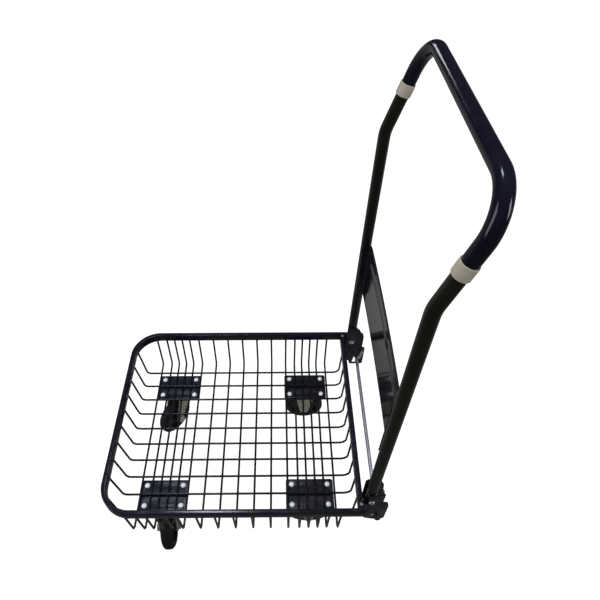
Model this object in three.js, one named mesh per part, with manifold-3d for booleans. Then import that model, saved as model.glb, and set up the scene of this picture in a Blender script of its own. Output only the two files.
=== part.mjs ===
// Folding shopping trolley: a wire basket in a flat-tube frame on four casters, with a push
// handle that folds forward over the basket when the sprung lock rod between its hinges is
// pressed down. Millimetres, +Z up, +X towards the handle, standing on z = 0.

import * as THREE from 'three';
import { mergeVertices } from 'three/addons/utils/BufferGeometryUtils.js';
import Module from 'manifold-3d';

const wasm = await Module();
wasm.setup();

// ---------------------------------------------------------------- driving dimensions

const seatGap = 0.3;            // clearance between pieces that rest on each other

// frame of flat tube, open at the handle end and closed there by the crossbar
const frameFrontX = -267;       // outer face of the front run
const frameRearX = 258;         // rear face of the crossbar
const frameWidth = 450;         // outside the side rails
const railWidth = 10;
const railHeight = 22;
const railWall = 1.2;
const railEdgeRadius = 2;
const railTopZ = 256;
const railCornerRadius = 60;    // on the centre line
const railOverhang = 3;         // side rails run this far past the crossbar
const crossbarBoltDiameter = 5;
const crossbarBoltInset = 16;   // in from the outside of the frame
const crossbarHeadOverhang = 1.8;
const crossbarHeadHeight = 2;
const crossbarNutHeight = 4;

// wire basket
const wireDiameter = 4;
const widePitch = 37;           // cross wires in the middle of the floor
const platePitch = 19.2;        // cross wires over the caster plates
const plateStep = 23.5;         // first and last step beside a caster plate
const wideCount = 3;            // wide steps each side of the middle wire
const plateCount = 3;           // close steps over a plate
const longPitch = 40;
const longCount = 10;
const weldDepth = 0.4;          // how far crossing wires are pressed into each other
const basketFloorInset = 12;    // the floor's side bends, in from the outside of the frame
const basketFloorFrontX = -251;
const basketFloorRearX = 250;
const wireBend = 8;
const rearWireBend = 17;

// casters
const wheelRadius = 50;
const tyreWidth = 28;
const tyreShoulder = 3;
const rimRadius = 38;
const rimThickness = 5;
const rimInset = 2;             // the rim's edge, in from the tyre's side
const hubWebHalf = 3;
const hubBossWall = 6;          // round the axle
const hubBossFlare = 2;         // the boss is this much wider where it meets the web
const hubProjection = 2;        // each side of the tyre
const wheelSides = 18;
const casterHeight = 131.9;     // ground to the top of the caster's plate
const frontCasterShift = -0.3;  // plate centres, from the middle of the close cross wires
const rearCasterShift = -3.3;
const casterInset = 84.5;         // plate centres, in from the outside of the frame
const casterPlateLength = 94;
const casterPlateWidth = 64;
const casterPlateThickness = 2.5;
const casterPlateCorner = 8;
const boltSpacingX = 80;
const boltSpacingY = 45;
const boltDiameter = 6;
const boltHeadAcross = 10;
const boltHeadHeight = 4;
const nutHeight = 5;
const forkThickness = 2.5;
const forkSideGap = 2.2;        // between the wheel hub and each fork leg
const forkEyeRadius = 12;       // the leg's round end
const crownHalfLength = 25;     // of a fork leg where it leaves the crown
const axleDiameter = 10;
const axleHeadAcross = 16;
const axleHeadHeight = 5;
const swivelTrail = 37;
const frontLeftSwivelAngle = 95;   // rest angle of each swivel fork, in degrees
const frontRightSwivelAngle = 55;
const raceInner = 15;
const raceFlare = 3;            // the upper race stands out this far beyond the crown
const raceHeight = 7;
const raceChamfer = 2;          // across the lower corner of the upper race
const raceLip = 1.5;            // and up it
const crownCorner = 4;
const dishHeight = 2.8;
const kingpinDiameter = 12;
const kingpinHeadOverhang = 4;
const kingpinHeadHeight = 3;

// mounting plates under the wire floor
const deckPlateLength = 106;
const deckPlateWidth = 70;
const deckPlateThickness = 3;
const deckPlateCorner = 5;

// folding handle
const handleX = 271.5;          // straight legs, and the pivot that they turn on
const handleInset = 28;         // leg centre lines, in from the outside of the frame
const handleDiameter = 21;
const handleWall = 1.4;
const handleTailZ = 204;
const topBarZ = 978;
const topBend = 57;
const kneeDrop = 153;           // from the top bar down to the knee
const kneeBend = 74;
const leanAngle = 16.3;         // of the upper handle, in degrees
const sleeveThickness = 0.6;
const collarDrop = 84;          // from the top bar down to the collars
const collarLength = 20;
const collarThickness = 1.3;

// sheet panel that ties the legs together, bowed to the rear in the middle
const panelBottomZ = 443;
const panelTopZ = 583;
const panelX = 278.2;           // front face beside the legs
const panelThickness = 1.5;
const panelBow = 2.5;
const panelFlangeX = 263;       // front edge of the flanges along the legs
const panelHem = 3.6;           // diameter of the rolled edges
const panelBeadDrop = 36;       // from the top edge down to the stiffening bead

// hinge brackets
const pivotZ = 271;
const pivotDiameter = 8;
const pivotHeadAcross = 13;
const pivotHeadHeight = 4;
const lockNutHeight = 4.5;
const bracketThickness = 2.3;
const seam = 1;                 // parts of one pressing run this far into each other
const bracketSideGap = 1.2;     // between a leg and each cheek
const bracketBottomZ = 176;
const innerCheekTopZ = 319;
const outerCheekTopZ = 302;
const innerToeX = 275;          // where the sloping toe meets the lower edge
const outerToeX = 279;
const bracketRearX = 308;
const tabTopZ = 247;
const tabSlope = 9;             // the outer cheek's tab is this much higher at its root
const lobeRootX = 297;          // the narrower part above the tab, at its root
const lobeLean = 9;             // how far the lobe's rear edge leans forward on its way up
const webInset = 15;            // the web starts this far above the cheeks' lower edge
const noseRise = 29;            // and the cheeks' front edge starts this far above it
const cheekCorner = 4;          // corners cut off the lower part of a cheek
const tabCorner = 3;
const lobeCorner = 8;
const lobeRound = 5;
const lobeShoulder = 20;        // the lobe's rear edge starts to round off this far down
const lobeCrown = 13;
const flangeFrontX = 249;       // flange that lies on the frame under the crossbar bolt
const flangeInset = 35;         // its inner edge, in from the outside of the frame
const flangeSetback = 3;        // the flange ends this far in from the frame's outer side
const rivetX = 281;
const rivetZ = 206;
const rivetRadius = 3.5;
const rivetHeight = 1.5;
const springPinDiameter = 4;
const springPinReach = 3.5;     // beyond the middle of the spring
const springPinX = 303.5;
const springPinZ = 242;

// lock rod
const rodDiameter = 8;
const rodX = 292;
const rodZ = 197;
const rodTravel = 10;
const rodPlay = 0.4;            // beside the rod in its slots
const rodSlope = 7;             // how far the slot opens out in front at its lower end
const rodWindow = 11;           // the same opening reaches this far above the rod
const rodOverhang = 5;          // beyond the brackets
const capWall = 1.6;
const capThickness = 2;
const springCoilRadius = 2.9;
const springWire = 1.3;
const springTurns = 4;
const springSideGap = 1;        // between the coil and the bracket

// ---------------------------------------------------------------- derived sizes

const railHalf = railWidth / 2;
const railZ = railTopZ - railHeight / 2;
const railBottomZ = railTopZ - railHeight;
const railSideY = frameWidth / 2 - railHalf;
const crossbarBoltY = frameWidth / 2 - crossbarBoltInset;
const basketFloorHalfWidth = frameWidth / 2 - basketFloorInset;
const casterY = frameWidth / 2 - casterInset;
const closeWiresX = wideCount * widePitch + plateStep + plateCount * platePitch / 2;
const frontCasterX = frontCasterShift - closeWiresX;
const rearCasterX = rearCasterShift + closeWiresX;
const handleHalfSpan = frameWidth / 2 - handleInset;
const kneeZ = topBarZ - kneeDrop;
const collarZ = topBarZ - collarDrop;
const railFrontX = frameFrontX + railHalf;
const crossbarX = frameRearX - railHalf;
const wireRadius = wireDiameter / 2;
const deckPlateBottomZ = casterHeight + seatGap;
const deckPlateTopZ = deckPlateBottomZ + deckPlateThickness;
const crossWireZ = deckPlateTopZ + seatGap + wireRadius;
const longWireZ = crossWireZ + wireDiameter - weldDepth;
const hubHalfWidth = tyreWidth / 2 + hubProjection;
const forkInside = hubHalfWidth + forkSideGap;
const forkOutside = forkInside + forkThickness;
const casterPlateBottomZ = casterHeight - casterPlateThickness;
const crownTopZ = casterPlateBottomZ - raceHeight;
const crownBottomZ = crownTopZ - forkThickness;
const handleRadius = handleDiameter / 2;
const sleeveInner = handleRadius + seatGap;
const sleeveOuter = sleeveInner + sleeveThickness;
const topBarX = handleX + (topBarZ - kneeZ) * Math.tan(THREE.MathUtils.degToRad(leanAngle));
const innerCheekY = handleHalfSpan - handleRadius - bracketSideGap - bracketThickness;
const outerCheekY = handleHalfSpan + handleRadius + bracketSideGap;
const outerFaceY = outerCheekY + bracketThickness;
const flangeBottomZ = railTopZ + seatGap;
const flangeTopZ = flangeBottomZ + bracketThickness;
const webX = frameRearX + seatGap;
const rodEndY = outerFaceY + rodOverhang;

// ---------------------------------------------------------------- materials

const finish = (color, roughness, metalness) =>
  new THREE.MeshStandardMaterial({ color, roughness, metalness });
const blackPaint = finish(0x14141c, 0.25, 0.3);
const zinc = finish(0xb4b6b8, 0.35, 0.9);
const forkZinc = finish(0x6f6f66, 0.4, 0.8);
const rubber = finish(0x101012, 0.7, 0);
const blackPlastic = finish(0x18181b, 0.45, 0);
const gripVinyl = finish(0x121220, 0.15, 0);
const beigePlastic = finish(0xb8b3a4, 0.5, 0);

// ---------------------------------------------------------------- shaping helpers

// A centre line of straight runs joined by round bends. Each corner is [point, bend radius,
// steps]: the bend is cut into that many equal turns, and a straight run stays one piece.
class BentPath extends THREE.Curve {
  constructor(corners) {
    super();
    this.stations = [];
    corners.forEach(([point, radius, bendSteps], i) => {
      const before = i > 0 ? corners[i - 1][0] : null;
      const after = i < corners.length - 1 ? corners[i + 1][0] : null;
      const into = before && point.clone().sub(before).normalize();
      const out = after && after.clone().sub(point).normalize();
      if (!into || !out) {
        this.stations.push({ point, tangent: into || out });
        return;
      }
      const turn = into.angleTo(out);
      const reach = radius * Math.tan(turn / 2);
      const side = out.clone().addScaledVector(into, -out.dot(into)).normalize();
      const start = point.clone().addScaledVector(into, -reach);
      for (let k = 0; k <= bendSteps; k++) {
        const a = turn * k / bendSteps;
        this.stations.push({
          point: start.clone().addScaledVector(into, radius * Math.sin(a))
            .addScaledVector(side, radius * (1 - Math.cos(a))),
          tangent: into.clone().multiplyScalar(Math.cos(a)).addScaledVector(side, Math.sin(a)),
        });
      }
    });
  }
  get steps() { return this.stations.length - 1; }
  station(u) { return this.stations[Math.round(u * this.steps)]; }
  getPointAt(u) { return this.station(u).point.clone(); }
  getTangentAt(u) { return this.station(u).tangent.clone().normalize(); }
}

const at = (x, y, z) => new THREE.Vector3(x, y, z);

function sweep(section, path, roundness = 1) {
  return new THREE.ExtrudeGeometry(section, {
    extrudePath: path, steps: path.steps, curveSegments: roundness, bevelEnabled: false,
  });
}

function polygon(points) {
  return new THREE.Shape(points.map(([x, y]) => new THREE.Vector2(x, y)));
}

function regular(radius, sides, turn = 0) {
  const corner = (k) => {
    const a = turn + k / sides * 2 * Math.PI;
    return [radius * Math.cos(a), radius * Math.sin(a)];
  };
  return polygon(Array.from({ length: sides }, (_, k) => corner(k)));
}

function withHole(outer, inner) {
  outer.holes.push(inner);
  return outer;
}

// A round hole whose flats stand clear of a round pin of the given radius
function boreAt(x, y, pinRadius, sides = 8) {
  const radius = (pinRadius + seatGap) / Math.cos(Math.PI / sides);
  const corner = (k) => [x + radius * Math.cos(k / sides * 2 * Math.PI),
    y + radius * Math.sin(k / sides * 2 * Math.PI)];
  return polygon(Array.from({ length: sides }, (_, k) => corner(k)));
}

function roundedBox(width, height, radius) {
  const w = width / 2;
  const h = height / 2;
  const shape = new THREE.Shape();
  shape.absarc(w - radius, h - radius, radius, 0, Math.PI / 2);
  shape.absarc(radius - w, h - radius, radius, Math.PI / 2, Math.PI);
  shape.absarc(radius - w, radius - h, radius, Math.PI, 1.5 * Math.PI);
  shape.absarc(w - radius, radius - h, radius, 1.5 * Math.PI, 2 * Math.PI);
  return shape;
}

// A flat plate from an outline in its own x and y, standing thickness along z
function plate(shape, thickness, roundness = 2) {
  return new THREE.ExtrudeGeometry(shape, {
    depth: thickness, steps: 1, curveSegments: roundness, bevelEnabled: false,
  });
}

// An outline drawn in x and z, laid on from face y to y + thickness
function cheek(shape, y, thickness) {
  return plate(shape, thickness).rotateX(Math.PI / 2).translate(0, y + thickness, 0);
}

function turned(profile, sides) {
  return new THREE.LatheGeometry(profile.map(([r, z]) => new THREE.Vector2(r, z)), sides)
    .rotateX(Math.PI / 2);
}

// A round bar along x, y or z between two places on that axis
function bar(axis, radius, from, to, sides) {
  const geometry = new THREE.CylinderGeometry(radius, radius, to - from, sides)
    .translate(0, (from + to) / 2, 0);
  if (axis === 'x') geometry.rotateZ(-Math.PI / 2);
  if (axis === 'z') geometry.rotateX(Math.PI / 2);
  return geometry;
}

function solid(geometry) {
  const bare = geometry.clone();
  bare.deleteAttribute('normal');
  bare.deleteAttribute('uv');
  const merged = mergeVertices(bare, 1e-4);
  return new wasm.Manifold(new wasm.Mesh({
    numProp: 3,
    vertProperties: Float32Array.from(merged.attributes.position.array),
    triVerts: Uint32Array.from(merged.index.array),
  }));
}

function geometryOf(body) {
  const mesh = body.getMesh();
  const geometry = new THREE.BufferGeometry();
  const position = Float32Array.from(mesh.vertProperties);
  geometry.setAttribute('position', new THREE.BufferAttribute(position, 3));
  geometry.setIndex(new THREE.BufferAttribute(Uint32Array.from(mesh.triVerts), 1));
  geometry.computeVertexNormals();
  return geometry;
}

const join = (...parts) => geometryOf(parts.map(solid).reduce((a, b) => a.add(b)));
const cut = (part, ...tools) =>
  geometryOf(tools.map(solid).reduce((a, b) => a.subtract(b), solid(part)));

const trolley = new THREE.Group();

function add(name, geometry, material, parent = trolley) {
  const mesh = new THREE.Mesh(geometry, material);
  mesh.name = name;
  parent.add(mesh);
  return mesh;
}

const sides = [['left', -1], ['right', 1]];

// ---------------------------------------------------------------- frame

function flatTube() {
  const h = railHeight / 2 - railWall;
  const w = railHalf - railWall;
  return withHole(roundedBox(railHeight, railWidth, railEdgeRadius),
    polygon([[-h, -w], [h, -w], [h, w], [-h, w]]));
}

const railEndX = frameRearX + railOverhang;
add('frame_tube', sweep(flatTube(), new BentPath([
  [at(railEndX, railSideY, railZ)],
  [at(railFrontX, railSideY, railZ), railCornerRadius, 6],
  [at(railFrontX, -railSideY, railZ), railCornerRadius, 6],
  [at(railEndX, -railSideY, railZ)],
])), blackPaint);

const crossbarHalf = railSideY - railHalf - seatGap;
const crossbarBoltHole = (y) =>
  bar('z', crossbarBoltDiameter / 2 + 2 * seatGap, railBottomZ - 1, railTopZ + 1, 8)
    .translate(crossbarX, y, 0);
add('rear_crossbar', cut(sweep(flatTube(), new BentPath([
  [at(crossbarX, crossbarHalf, railZ)],
  [at(crossbarX, -crossbarHalf, railZ)],
])), crossbarBoltHole(-crossbarBoltY), crossbarBoltHole(crossbarBoltY)), blackPaint);

// Upright bolt through each bracket's flange and the crossbar: round head, nut below
sides.forEach(([name, side]) => {
  const r = crossbarBoltDiameter / 2;
  const head = r + crossbarHeadOverhang;
  const top = flangeTopZ + seatGap;
  const bottom = railBottomZ - seatGap;
  add(`crossbar_bolt_${name}`, turned([
    [0, bottom - crossbarNutHeight], [head, bottom - crossbarNutHeight], [head, bottom],
    [r, bottom], [r, top], [head, top], [head - 1, top + crossbarHeadHeight],
    [0, top + crossbarHeadHeight],
  ], 8).translate(crossbarX, side * crossbarBoltY, 0), zinc);
});

// ---------------------------------------------------------------- wire basket

// Where the frame's centre line runs, so that every wire ends under the tube
function railYAt(x) {
  const into = railFrontX + railCornerRadius - x;
  if (into <= 0) return railSideY;
  return railSideY - railCornerRadius + Math.sqrt(railCornerRadius ** 2 - into ** 2);
}

function railXAt(y) {
  const into = Math.abs(y) - (railSideY - railCornerRadius);
  if (into <= 0) return railFrontX;
  return railFrontX + railCornerRadius - Math.sqrt(railCornerRadius ** 2 - into ** 2);
}

const wireSection = regular(wireRadius, 6, Math.PI / 2);
const wireTopZ = railBottomZ - seatGap;

function crossWire(x) {
  return sweep(wireSection, new BentPath([
    [at(x, railYAt(x), wireTopZ)],
    [at(x, basketFloorHalfWidth, crossWireZ), wireBend, 1],
    [at(x, -basketFloorHalfWidth, crossWireZ), wireBend, 1],
    [at(x, -railYAt(x), wireTopZ)],
  ]));
}

function longWire(y) {
  return sweep(wireSection, new BentPath([
    [at(railXAt(y), y, wireTopZ)],
    [at(basketFloorFrontX, y, longWireZ), wireBend, 1],
    [at(basketFloorRearX, y, longWireZ), rearWireBend, 2],
    [at(crossbarX, y, wireTopZ)],
  ]));
}

const crossWireX = [0];
for (let i = 1; i <= wideCount; i++) crossWireX.push(i * widePitch);
for (let i = 0; i <= plateCount; i++) {
  crossWireX.push(wideCount * widePitch + plateStep + i * platePitch);
}
crossWireX.push(crossWireX.at(-1) + plateStep);
const crossWires = crossWireX.flatMap((x) => (x === 0 ? [x] : [x, -x])).map(crossWire);
const longWires = Array.from({ length: longCount }, (_, i) =>
  longWire((i - (longCount - 1) / 2) * longPitch));
add('wire_basket', join(...crossWires, ...longWires), blackPaint);

// ---------------------------------------------------------------- caster plates and bolts

const boltPlaces = [[-1, -1], [1, -1], [-1, 1], [1, 1]]
  .map(([sx, sy]) => [sx * boltSpacingX / 2, sy * boltSpacingY / 2]);

function drilled(shape) {
  boltPlaces.forEach(([x, y]) => shape.holes.push(boreAt(x, y, boltDiameter / 2, 6)));
  return shape;
}

const hexCorner = (across) => across / 2 / Math.cos(Math.PI / 6);

// Bolt with its nut, head up, standing in the plates' holes
function casterBolt() {
  const r = boltDiameter / 2;
  const corner = hexCorner(boltHeadAcross);
  const headBottom = deckPlateTopZ + seatGap;
  const headTop = headBottom + boltHeadHeight;
  const nutTop = casterHeight - casterPlateThickness - seatGap;
  const nutBottom = nutTop - nutHeight;
  return turned([
    [0, nutBottom], [corner, nutBottom], [corner, nutTop], [r, nutTop], [r, headBottom],
    [corner, headBottom], [corner, headTop], [0, headTop],
  ], 6);
}

// ---------------------------------------------------------------- wheels and forks

// Everything in a fork turns about its own x = 0, y = 0; the wheel stands at x = -trail
function wheelHub() {
  const boss = axleDiameter / 2 + hubBossWall;
  const bossFoot = boss + hubBossFlare;
  const bore = axleDiameter / 2 + seatGap;
  const web = hubWebHalf;
  const rimInner = rimRadius - rimThickness;
  const rimHalf = tyreWidth / 2 - rimInset;
  return turned([
    [bore, -hubHalfWidth], [boss, -hubHalfWidth], [bossFoot, -web], [rimInner, -web],
    [rimRadius, -rimHalf], [rimRadius, rimHalf], [rimInner, web], [bossFoot, web],
    [boss, hubHalfWidth], [bore, hubHalfWidth], [bore, -hubHalfWidth],
  ], wheelSides).rotateX(Math.PI / 2);
}

function tyre() {
  const inner = rimRadius + seatGap;
  const half = tyreWidth / 2;
  const shoulder = wheelRadius - tyreShoulder;
  return turned([
    [inner, -half], [shoulder, -half], [wheelRadius, -half / 3],
    [wheelRadius, half / 3], [shoulder, half], [inner, half], [inner, -half],
  ], wheelSides).rotateX(Math.PI / 2);
}

function axleBolt() {
  const face = forkOutside + seatGap;
  const headEnd = face + axleHeadHeight;
  const nutEnd = headEnd + 1;
  const corner = hexCorner(axleHeadAcross);
  return join(
    bar('y', axleDiameter / 2, 1 - headEnd, nutEnd + 1, 8),
    bar('y', corner, -headEnd, -face, 6),
    bar('y', corner, face, nutEnd, 6));
}

// Side outline of a fork leg in x and z: wide at the crown, round at the axle
function legOutline(trail, crownZ) {
  const axle = new THREE.Vector2(-trail, wheelRadius);
  const tangentFrom = (corner) => {
    const reach = corner.clone().sub(axle);
    const lean = Math.acos(forkEyeRadius / reach.length()) * Math.sign(corner.x - axle.x);
    return reach.angle() + (corner.x > axle.x ? -Math.abs(lean) : Math.abs(lean));
  };
  const right = new THREE.Vector2(crownHalfLength, crownZ);
  const left = new THREE.Vector2(-crownHalfLength, crownZ);
  const shape = new THREE.Shape();
  shape.moveTo(right.x, right.y);
  shape.lineTo(left.x, left.y);
  shape.absarc(axle.x, axle.y, forkEyeRadius, tangentFrom(left),
    tangentFrom(right) + 2 * Math.PI);
  return withHole(shape, boreAt(axle.x, axle.y, axleDiameter / 2));
}

function forkLegs(trail, crownZ) {
  const outline = legOutline(trail, crownZ);
  return [
    cheek(outline, forkInside, forkThickness),
    cheek(outline, -forkOutside, forkThickness),
  ];
}

const casterPlateOutline = () =>
  drilled(roundedBox(casterPlateLength, casterPlateWidth, casterPlateCorner));
const kingpinHole = () => boreAt(0, 0, kingpinDiameter / 2);

// Rigid caster: its plate and both legs are one pressing
function fixedFork() {
  const top = plate(casterPlateOutline(), casterPlateThickness, 1)
    .translate(0, 0, casterPlateBottomZ);
  return join(top, ...forkLegs(0, casterPlateBottomZ + 1));
}

function swivelPlate() {
  const top = plate(withHole(casterPlateOutline(), kingpinHole()), casterPlateThickness, 1)
    .translate(0, 0, casterPlateBottomZ);
  const rim = crownHalfLength + raceFlare;
  const lower = -raceHeight / 2;
  const race = turned([
    [raceInner, lower], [crownHalfLength - raceChamfer, lower], [rim, lower + raceLip], [rim, seam],
    [raceInner, seam], [raceInner, lower],
  ], 12).translate(0, 0, casterPlateBottomZ);
  return join(top, race);
}

function swivelFork() {
  const half = crownHalfLength + 1;
  const outline = roundedBox(2 * half, 2 * forkOutside, crownCorner);
  const crown = plate(withHole(outline, kingpinHole()), forkThickness, 1)
    .translate(0, 0, crownBottomZ);
  const dish = turned([
    [raceInner, -1], [half, -1], [half, dishHeight / 2], [half - raceFlare, dishHeight],
    [raceInner, dishHeight], [raceInner, -1],
  ], 12).translate(0, 0, crownTopZ);
  return join(crown, dish, ...forkLegs(swivelTrail, crownBottomZ + 1));
}

function kingpin() {
  const r = kingpinDiameter / 2;
  const head = r + kingpinHeadOverhang;
  const topZ = casterHeight - seatGap;
  const faceZ = crownBottomZ - seatGap;
  const endZ = faceZ - kingpinHeadHeight;
  return turned([
    [0, endZ], [head - 2, endZ], [head, faceZ], [r, faceZ], [r, topZ], [0, topZ],
  ], 8);
}

const corners = [
  ['front_left', frontCasterX, -casterY, frontLeftSwivelAngle],
  ['front_right', frontCasterX, casterY, frontRightSwivelAngle],
  ['rear_left', rearCasterX, -casterY, null],
  ['rear_right', rearCasterX, casterY, null],
];
corners.forEach(([corner, x, y, swivel]) => {
  const deckOutline = drilled(roundedBox(deckPlateLength, deckPlateWidth, deckPlateCorner));
  add(`deck_plate_${corner}`, plate(deckOutline, deckPlateThickness, 1)
    .translate(x, y, deckPlateBottomZ), blackPaint);
  boltPlaces.forEach(([bx, by], i) => {
    add(`caster_bolt_${corner}_${i + 1}`, casterBolt().translate(x + bx, y + by, 0), zinc);
  });
  const turn = new THREE.Group();
  turn.position.set(x, y, 0);
  trolley.add(turn);
  let trail = 0;
  if (swivel === null) {
    add(`fixed_fork_${corner}`, fixedFork(), forkZinc, turn);
  } else {
    trail = swivelTrail;
    add(`swivel_plate_${corner}`, swivelPlate().translate(x, y, 0), forkZinc);
    add(`kingpin_${corner}`, kingpin().translate(x, y, 0), zinc);
    turn.rotation.z = THREE.MathUtils.degToRad(swivel);
    add(`swivel_fork_${corner}`, swivelFork(), forkZinc, turn);
  }
  add(`axle_bolt_${corner}`, axleBolt().translate(-trail, 0, wheelRadius), zinc, turn);
  add(`wheel_hub_${corner}`, wheelHub().translate(-trail, 0, wheelRadius), blackPlastic, turn);
  add(`tyre_${corner}`, tyre().translate(-trail, 0, wheelRadius), rubber, turn);
});

// ---------------------------------------------------------------- handle

const handlePath = new BentPath([
  [at(handleX, -handleHalfSpan, handleTailZ)],
  [at(handleX, -handleHalfSpan, kneeZ), kneeBend, 2],
  [at(topBarX, -handleHalfSpan, topBarZ), topBend, 5],
  [at(topBarX, handleHalfSpan, topBarZ), topBend, 5],
  [at(handleX, handleHalfSpan, kneeZ), kneeBend, 2],
  [at(handleX, handleHalfSpan, handleTailZ)],
]);
const handleTube = sweep(withHole(
  regular(handleRadius, 12), regular(handleRadius - handleWall, 8)), handlePath);
const pivotHoles = bar('y', pivotDiameter / 2 + seatGap, -outerFaceY, outerFaceY, 12)
  .translate(handleX, 0, pivotZ);
add('handle_tube', cut(handleTube, pivotHoles), blackPaint);

// A place on the leaning part of a leg at height z
const lean = at(topBarX - handleX, 0, topBarZ - kneeZ).normalize();
const onLean = (z, side, along = 0) => at(handleX, side * handleHalfSpan, kneeZ)
  .addScaledVector(lean, (z - kneeZ) / lean.z + along);

const sleeveStart = collarLength / 2 + seatGap;
add('grip_sleeve', sweep(withHole(regular(sleeveOuter, 12), regular(sleeveInner, 12)),
  new BentPath([
    [onLean(collarZ, -1, sleeveStart)],
    [at(topBarX, -handleHalfSpan, topBarZ), topBend, 5],
    [at(topBarX, handleHalfSpan, topBarZ), topBend, 5],
    [onLean(collarZ, 1, sleeveStart)],
  ])), gripVinyl);

sides.forEach(([name, side]) => {
  const outer = regular(handleRadius + collarThickness, 12);
  add(`grip_collar_${name}`, sweep(withHole(outer, regular(sleeveInner, 12)), new BentPath([
    [onLean(collarZ, side, -collarLength / 2)],
    [onLean(collarZ, side, collarLength / 2)],
  ])), beigePlastic);
});

// The panel stands between the legs, with a flange along each and its bow seen from above
const panelHalf = handleHalfSpan - handleRadius - seatGap;

function panelSheet() {
  const rear = panelX + panelThickness;
  const inside = panelHalf - panelThickness;
  const shape = polygon([[panelFlangeX, inside], [panelFlangeX, panelHalf], [rear, panelHalf]]);
  shape.quadraticCurveTo(rear + 2 * panelBow, 0, rear, -panelHalf);
  shape.lineTo(panelFlangeX, -panelHalf);
  shape.lineTo(panelFlangeX, -inside);
  shape.lineTo(panelX, -inside);
  shape.quadraticCurveTo(panelX + 2 * panelBow, 0, panelX, inside);
  return plate(shape, panelTopZ - panelBottomZ, 8).translate(0, 0, panelBottomZ);
}

function panelRoll(z) {
  const x = panelX + panelThickness / 2;
  const half = panelHalf - panelThickness / 2;
  const line = new THREE.QuadraticBezierCurve3(
    at(x, -half, z), at(x + 2 * panelBow, 0, z), at(x, half, z));
  return new THREE.ExtrudeGeometry(regular(panelHem / 2, 8), {
    extrudePath: line, steps: 8, bevelEnabled: false,
  });
}

const panelRolls = [panelTopZ - panelHem / 2, panelBottomZ + panelHem / 2,
  panelTopZ - panelBeadDrop];
add('leg_panel', join(panelSheet(), ...panelRolls.map(panelRoll)), blackPaint);

// ---------------------------------------------------------------- hinges and lock

// Opening for the lock rod: a slot as tall as its travel, and a window in front of it
function rodOpening() {
  const r = rodDiameter / 2 + rodPlay;
  const low = rodZ - rodTravel - r;
  const front = rodX - r - rodSlope;
  const opening = new THREE.Path();
  opening.moveTo(rodX + r, low);
  opening.lineTo(rodX + r, rodZ);
  opening.absarc(rodX, rodZ, r, 0, 0.9 * Math.PI);
  opening.lineTo(front + rodSlope / 2, rodZ + rodWindow);
  opening.lineTo(front, low);
  return opening;
}

// Side outline of a cheek: a toe that slopes up to the web, a tab for the rod and the spring
// behind, and above it a lobe round the pivot
function cheekAt(y, topZ, toeX, rootZ) {
  const lobeX = lobeRootX - lobeLean;
  const shape = polygon([
    [webX, bracketBottomZ + noseRise], [webX + cheekCorner, bracketBottomZ + webInset],
    [toeX - cheekCorner, bracketBottomZ + webInset], [toeX, bracketBottomZ],
    [bracketRearX - cheekCorner, bracketBottomZ],
    [bracketRearX, bracketBottomZ + cheekCorner],
    [bracketRearX, tabTopZ - tabCorner], [bracketRearX - tabCorner, tabTopZ],
    [lobeRootX, rootZ], [lobeRootX - cheekCorner, rootZ + lobeCorner],
    [lobeX, topZ - lobeShoulder], [lobeX - lobeRound, topZ - lobeRound],
    [lobeX - lobeCrown, topZ], [webX + lobeCorner, topZ], [webX, topZ - lobeCorner],
  ]);
  shape.holes.push(boreAt(handleX, pivotZ, pivotDiameter / 2), rodOpening());
  return cheek(shape, y, bracketThickness);
}

const springY = innerCheekY - springCoilRadius - springWire / 2 - springSideGap;

// Bracket for the right-hand leg; the left one is its mirror image
function hingeBracket() {
  const webBottomZ = bracketBottomZ + webInset + seam;
  const webTopZ = flangeTopZ;
  const web = new THREE.BoxGeometry(bracketThickness, outerFaceY - innerCheekY - seam,
    webTopZ - webBottomZ).translate(webX + bracketThickness / 2,
    (outerFaceY + innerCheekY) / 2, (webTopZ + webBottomZ) / 2);
  const flangeInnerY = frameWidth / 2 - flangeInset;
  const flangeOuterY = frameWidth / 2 - flangeSetback;
  const flangeRearX = webX + bracketThickness;
  const flangeShape = polygon([
    [flangeFrontX, flangeInnerY], [flangeRearX, flangeInnerY], [flangeRearX, flangeOuterY],
    [flangeFrontX, flangeOuterY],
  ]);
  flangeShape.holes.push(boreAt(crossbarX, crossbarBoltY, crossbarBoltDiameter / 2));
  const flange = plate(flangeShape, bracketThickness).translate(0, 0, flangeBottomZ);
  const springPin = bar('y', springPinDiameter / 2, springY - springPinReach, innerCheekY + seam, 8)
    .translate(springPinX, 0, springPinZ);
  const rivetHead = bar('y', rivetRadius, outerFaceY - 0.5, outerFaceY + rivetHeight, 8)
    .translate(rivetX, 0, rivetZ);
  return join(cheekAt(innerCheekY, innerCheekTopZ, innerToeX, tabTopZ),
    cheekAt(outerCheekY, outerCheekTopZ, outerToeX, tabTopZ + tabSlope),
    web, flange, springPin, rivetHead);
}

function pivotBolt() {
  const corner = hexCorner(pivotHeadAcross);
  const nutFace = innerCheekY - seatGap;
  const headFace = outerFaceY + seatGap;
  return join(
    bar('y', pivotDiameter / 2, nutFace - lockNutHeight - 2, headFace + 1, 8),
    bar('y', corner, nutFace - lockNutHeight, nutFace, 6),
    bar('y', corner, headFace, headFace + pivotHeadHeight, 6)).translate(handleX, 0, pivotZ);
}

function mirrored(geometry) {
  const flipped = geometry.clone().scale(1, -1, 1);
  const index = flipped.index.array;
  for (let i = 0; i < index.length; i += 3) [index[i], index[i + 1]] = [index[i + 1], index[i]];
  flipped.computeVertexNormals();
  return flipped;
}

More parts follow.
